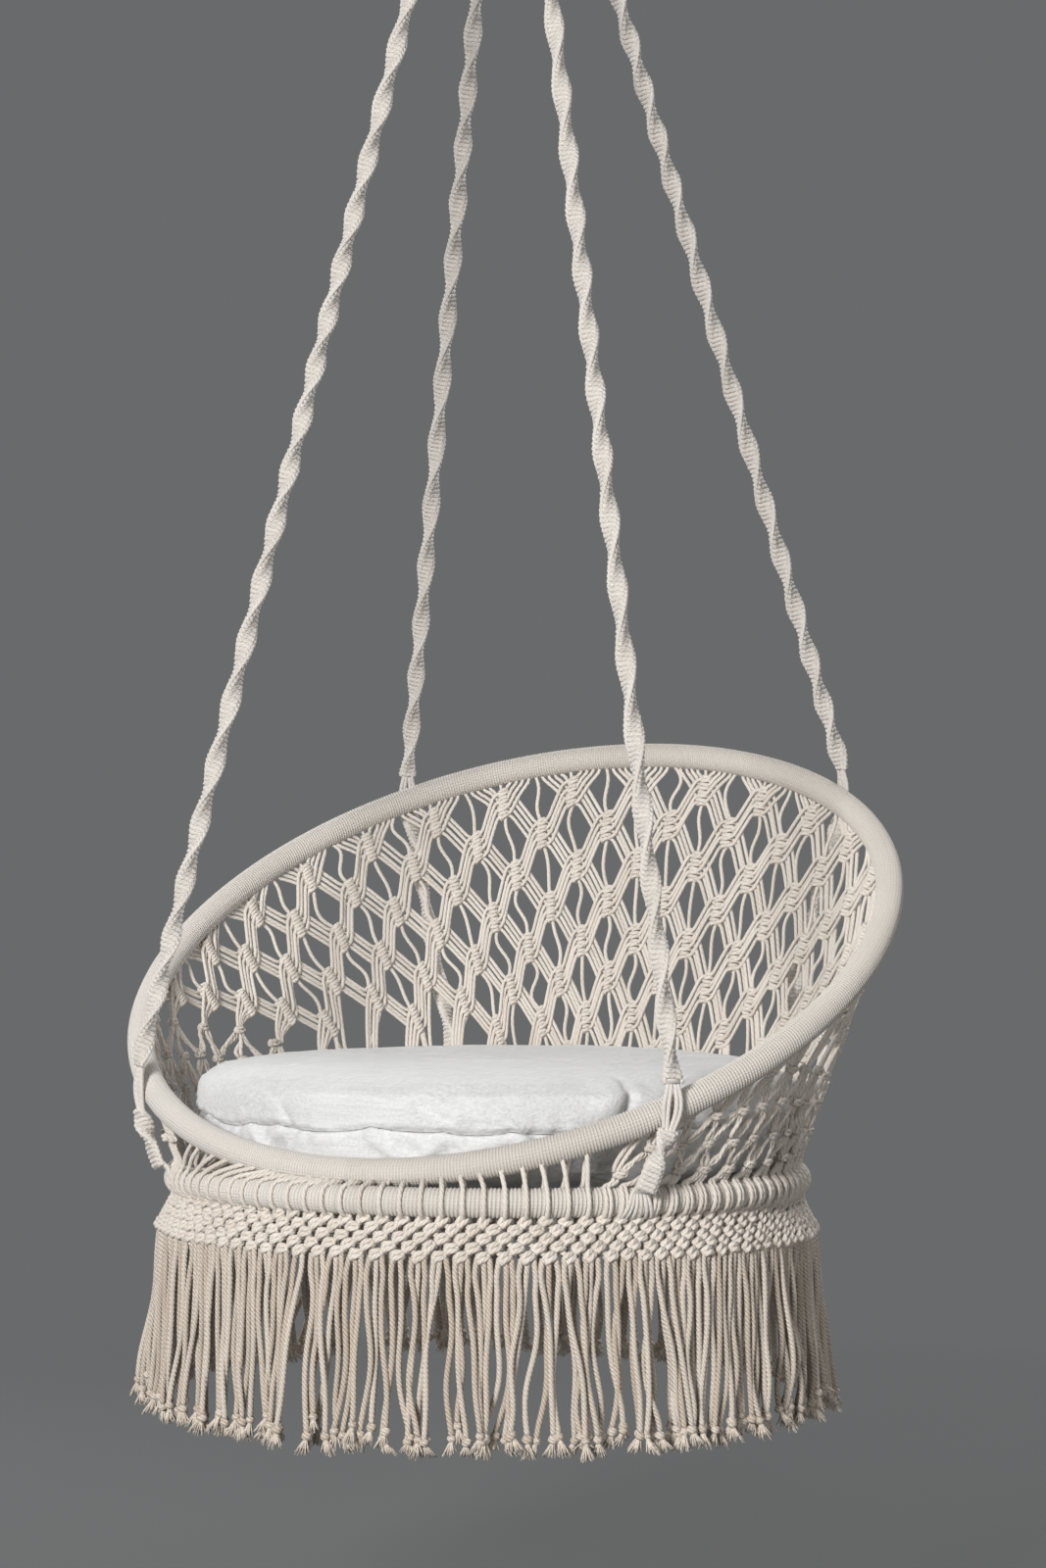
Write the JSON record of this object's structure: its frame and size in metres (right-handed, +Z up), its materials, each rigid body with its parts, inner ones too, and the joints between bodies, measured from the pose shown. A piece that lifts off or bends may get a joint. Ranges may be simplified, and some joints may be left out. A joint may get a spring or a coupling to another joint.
{
  "type": "hanging hammock chair",
  "caption": "Hanging chair of knotted cotton cord on two wrapped hoops, with a round cushion, net back, fringed skirt and spiral ropes that meet at a ring.",
  "frame": {"origin": "inside the hanging ring, at the middle of its top facet, where a hook bears", "axes": "+Z up, -Y the way the sitter faces, +X to the sitter's left, the ring's axis along Y"},
  "size_m": [0.752, 0.685, 1.8614],
  "materials": {
    "cotton": "matte",
    "linen": "matte",
    "steel": "satin",
    "tube": "satin"
  },
  "bodies": {
    "ring": {"hanging_ring": "steel"},
    "collar": {"ring_collar": "cotton"},
    "head": {"rope_head": "cotton"},
    "chair": {"gathered_cords": "cotton", "gathering_winding": "cotton", "rope_front_left": "cotton", "rope_front_right": "cotton", "rope_back_left": "cotton", "rope_back_right": "cotton", "rope_foot_front_left": "cotton", "rope_foot_front_right": "cotton", "rope_foot_back_left": "cotton", "rope_foot_back_right": "cotton", "seat_hoop": "tube", "seat_hoop_wrap": "cotton", "back_hoop": "tube", "back_hoop_wrap": "cotton", "net_panel_1": "cotton", "net_panel_2": "cotton", "net_panel_3": "cotton", "net_panel_4": "cotton", "net_panel_5": "cotton", "net_panel_6": "cotton", "net_panel_7": "cotton", "net_panel_8": "cotton", "net_panel_9": "cotton", "net_panel_10": "cotton", "net_panel_11": "cotton", "front_cords_1": "cotton", "front_cords_2": "cotton", "front_cords_3": "cotton", "front_cords_4": "cotton", "seat_net": "cotton", "skirt_band": "cotton", "fringe_1": "cotton", "fringe_2": "cotton", "fringe_3": "cotton", "fringe_4": "cotton", "fringe_5": "cotton", "fringe_6": "cotton", "fringe_7": "cotton", "fringe_8": "cotton"},
    "seat_cushion": {"cushion": "linen"}
  },
  "joints": [
    {"name": "sway", "type": "hinge", "parent": "ring", "child": "collar", "pos_m": [0, 0, -0.0298], "axis": [0, 1, 0], "range_deg": [-20, 20]},
    {"name": "swing", "type": "hinge", "parent": "collar", "child": "head", "pos_m": [0, 0, -0.0646], "axis": [1, 0, 0], "range_deg": [-30, 30]},
    {"name": "spin", "type": "hinge", "parent": "head", "child": "chair", "pos_m": [0, 0, -0.1061], "axis": [0, 0, 1], "range_deg": [-180, 180]},
    {"name": "cushion_lift", "type": "slide", "parent": "chair", "child": "seat_cushion", "axis": [0, 0, 1], "range_m": [0, 0.15]}
  ]
}
